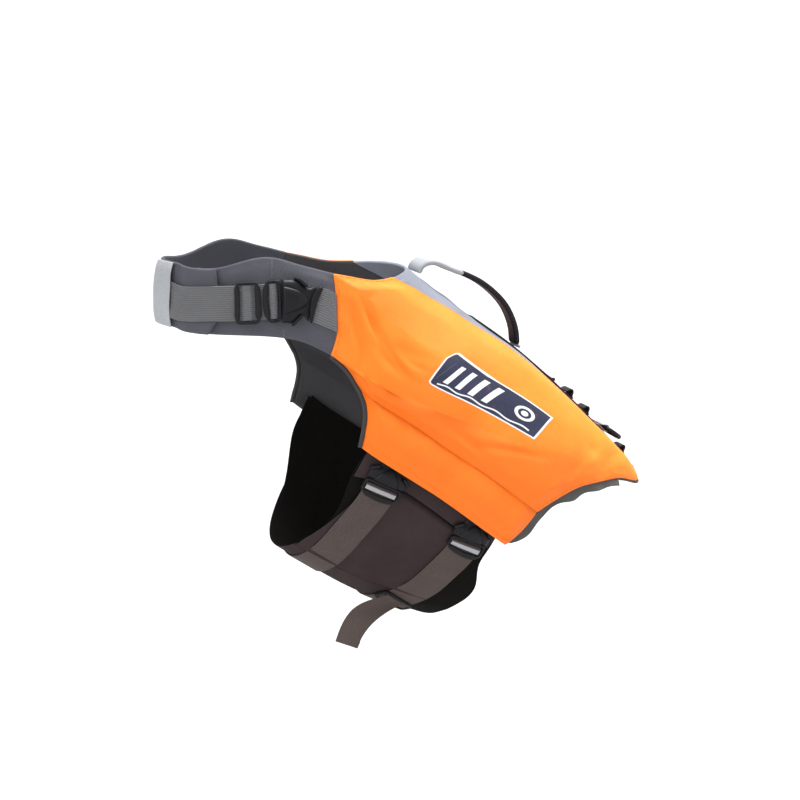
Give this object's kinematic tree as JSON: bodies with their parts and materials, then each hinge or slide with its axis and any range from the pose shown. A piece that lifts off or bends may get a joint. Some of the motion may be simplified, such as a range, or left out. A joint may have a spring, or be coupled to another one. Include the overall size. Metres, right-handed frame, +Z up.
{
  "type": "dog life jacket",
  "caption": "Foam-filled orange dog life jacket with a padded neck collar, belly band, buckled straps, top grab handle and leash ring, shaped as worn.",
  "frame": {"origin": "withers: the point on the top of the back where the lining rests on the wearer", "axes": "+X towards the tail, +Y to the right-hand side, +Z up"},
  "size_m": [0.575, 0.2706, 0.4569],
  "materials": {
    "orange_nylon": "woven, stitched over foam",
    "collar_mesh": "padded spacer mesh",
    "belly_cloth": "woven",
    "spine_cloth": "woven",
    "black_cloth": "woven",
    "binding": "ribbed tape",
    "grey_webbing": "ribbed webbing",
    "brown_webbing": "ribbed webbing",
    "light_webbing": "ribbed webbing",
    "black_webbing": "ribbed webbing",
    "plastic": "moulded, satin",
    "rubber": "moulded, matt"
  },
  "bodies": {
    "jacket": {"side_panel_left": "orange_nylon", "side_panel_right": "orange_nylon", "armhole_binding_left": "binding", "armhole_binding_right": "binding", "rear_facing_left": "binding", "rear_facing_right": "binding", "tail_facing": "binding", "spine_panel": "spine_cloth", "collar_left": "collar_mesh", "collar_right": "collar_mesh", "collar_keeper": "light_webbing", "handle_webbing_front": "light_webbing", "handle_webbing_rear": "light_webbing", "d_ring_tab": "light_webbing", "collar_slider": "plastic", "collar_buckle_male": "plastic", "collar_buckle_female": "plastic", "collar_strap_front": "grey_webbing", "collar_strap_rear": "grey_webbing", "belly_band": "black_cloth", "side_strip_left": "belly_cloth", "side_strip_right": "belly_cloth", "belly_flap_left": "belly_cloth", "belly_flap_right": "belly_cloth", "belly_buckle_front_female": "plastic", "belly_buckle_front_male": "plastic", "buckle_tab_front": "black_webbing", "belly_strap_front": "brown_webbing", "belly_buckle_rear_female": "plastic", "belly_buckle_rear_male": "plastic", "buckle_tab_rear": "black_webbing", "belly_strap_rear": "brown_webbing", "belly_slider": "plastic", "strap_tail": "brown_webbing", "handle_grip": "rubber", "spine_webbing": "black_webbing", "spine_loop_1": "black_webbing", "spine_loop_2": "black_webbing", "spine_loop_3": "black_webbing"},
    "ring": {"d_ring": "plastic"}
  },
  "joints": [
    {"name": "ring_hinge", "type": "hinge", "parent": "jacket", "child": "ring", "pos_m": [0.17597, 0, -0.14184], "axis": [0, -1, 0], "range_deg": [0, 120]}
  ]
}
